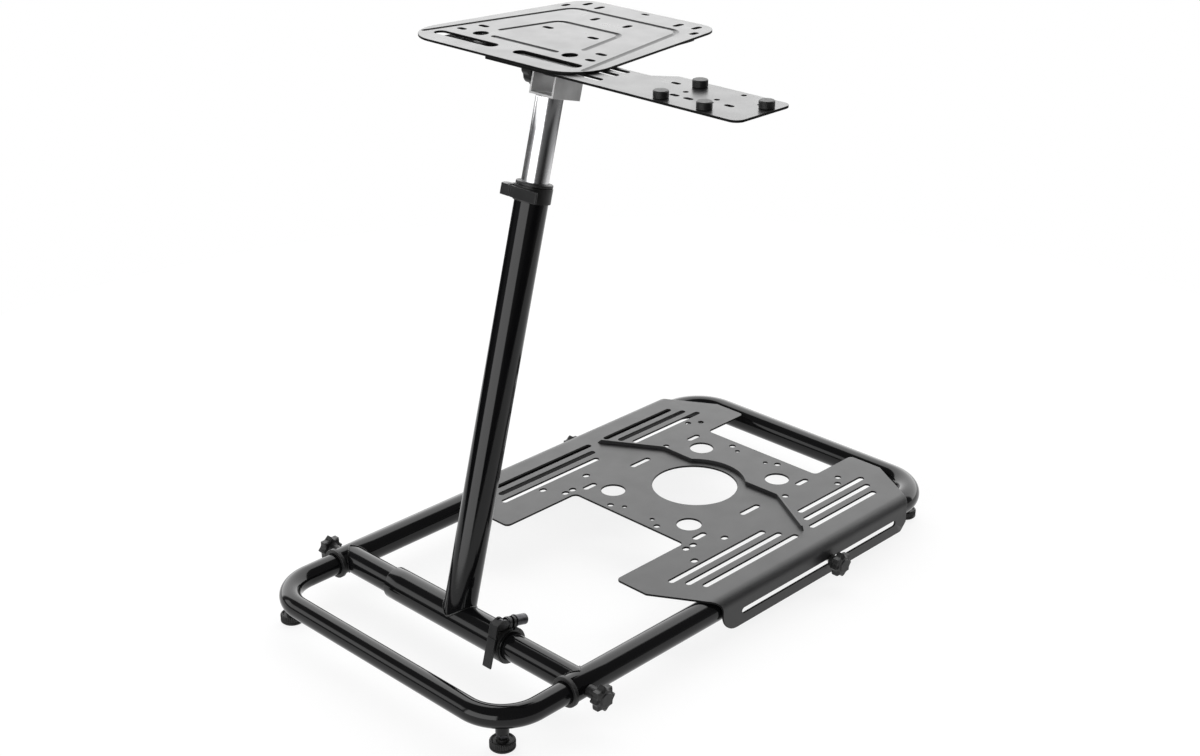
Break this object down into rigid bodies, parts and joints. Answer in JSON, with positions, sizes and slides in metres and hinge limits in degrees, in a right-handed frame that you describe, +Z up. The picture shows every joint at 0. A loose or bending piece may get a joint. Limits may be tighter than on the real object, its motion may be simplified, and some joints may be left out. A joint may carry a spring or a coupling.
{
  "type": "racing wheel stand",
  "caption": "Folding steel stand that holds a steering wheel base, a pedal set and a gear shifter, on a tube frame with levelling feet.",
  "frame": {"origin": "middle of the footprint, on the floor", "axes": "+X is the driver's right, +Y points from the driver towards the pedals, +Z is up"},
  "size_m": [0.689, 0.922, 0.8207],
  "materials": {
    "gloss_black_tube": "gloss powder coat",
    "black_sheet": "satin powder coat",
    "black_plastic": "moulded, lightly grained",
    "foot_black": "knurled",
    "clamp_black": "satin, cast",
    "dark_steel": "black oxide",
    "chrome_post": "polished",
    "silver_bracket": "zinc plated"
  },
  "bodies": {
    "base": {"rear_hoop": "gloss_black_tube", "cross_tube": "gloss_black_tube", "mouth_collar_left": "black_plastic", "mouth_collar_right": "black_plastic", "rear_foot_left": "foot_black", "rear_foot_right": "foot_black", "front_knob_left": "black_plastic", "front_knob_right": "black_plastic", "pedal_knob_left": "black_plastic", "pedal_knob_right": "black_plastic"},
    "hoop": {"front_hoop": "gloss_black_tube", "front_foot_left": "foot_black", "front_foot_right": "foot_black"},
    "pedals": {"pedal_plate": "black_sheet"},
    "mast": {"mast_sleeve": "gloss_black_tube", "mast_tube": "gloss_black_tube", "mast_bushing": "black_plastic", "mast_clamp_band": "clamp_black", "mast_clamp_bolt": "dark_steel", "base_clamp_band": "clamp_black", "base_clamp_bolt": "dark_steel"},
    "base_lever": {"base_clamp_lever": "clamp_black"},
    "mast_lever": {"mast_clamp_lever": "clamp_black"},
    "post": {"post_tube": "chrome_post", "head_bracket": "silver_bracket", "pivot_bolt": "dark_steel", "tilt_knob": "black_plastic"},
    "deck": {"wheel_plate": "black_sheet", "hinge_plate": "black_sheet", "deck_spacer": "black_sheet", "arm_stud_1": "dark_steel", "arm_stud_2": "dark_steel"},
    "arm": {"shifter_arm": "black_sheet", "arm_knob_1": "black_plastic", "arm_knob_2": "black_plastic", "arm_knob_3": "black_plastic", "arm_knob_4": "black_plastic"}
  },
  "joints": [
    {"name": "front_hoop_slide", "type": "slide", "parent": "base", "child": "hoop", "axis": [0, -1, 0], "range_m": [-0.045, 0.1]},
    {"name": "pedal_slide", "type": "slide", "parent": "base", "child": "pedals", "axis": [0, 1, 0], "range_m": [-0.14, 0.18]},
    {"name": "mast_fold", "type": "hinge", "parent": "base", "child": "mast", "pos_m": [-0.0595, -0.308, 0.0455], "axis": [-1, 0, 0], "range_deg": [-10, 55]},
    {"name": "base_lever_turn", "type": "hinge", "parent": "mast", "child": "base_lever", "pos_m": [0.0355, -0.3158, 0.07937], "axis": [-1, 0, 0], "range_deg": [0, 105]},
    {"name": "mast_lever_turn", "type": "hinge", "parent": "mast", "child": "mast_lever", "pos_m": [-0.0897, -0.17182, 0.61672], "axis": [0, -0.2588, -0.9659], "range_deg": [0, 105]},
    {"name": "post_slide", "type": "slide", "parent": "mast", "child": "post", "axis": [0, 0.2588, 0.9659], "range_m": [-0.1, 0.15]},
    {"name": "deck_tilt", "type": "hinge", "parent": "post", "child": "deck", "pos_m": [-0.0595, -0.10983, 0.76575], "axis": [1, 0, 0], "range_deg": [-15, 15]},
    {"name": "arm_slide", "type": "slide", "parent": "deck", "child": "arm", "axis": [1, 0, 0], "range_m": [-0.05, 0.06]}
  ]
}
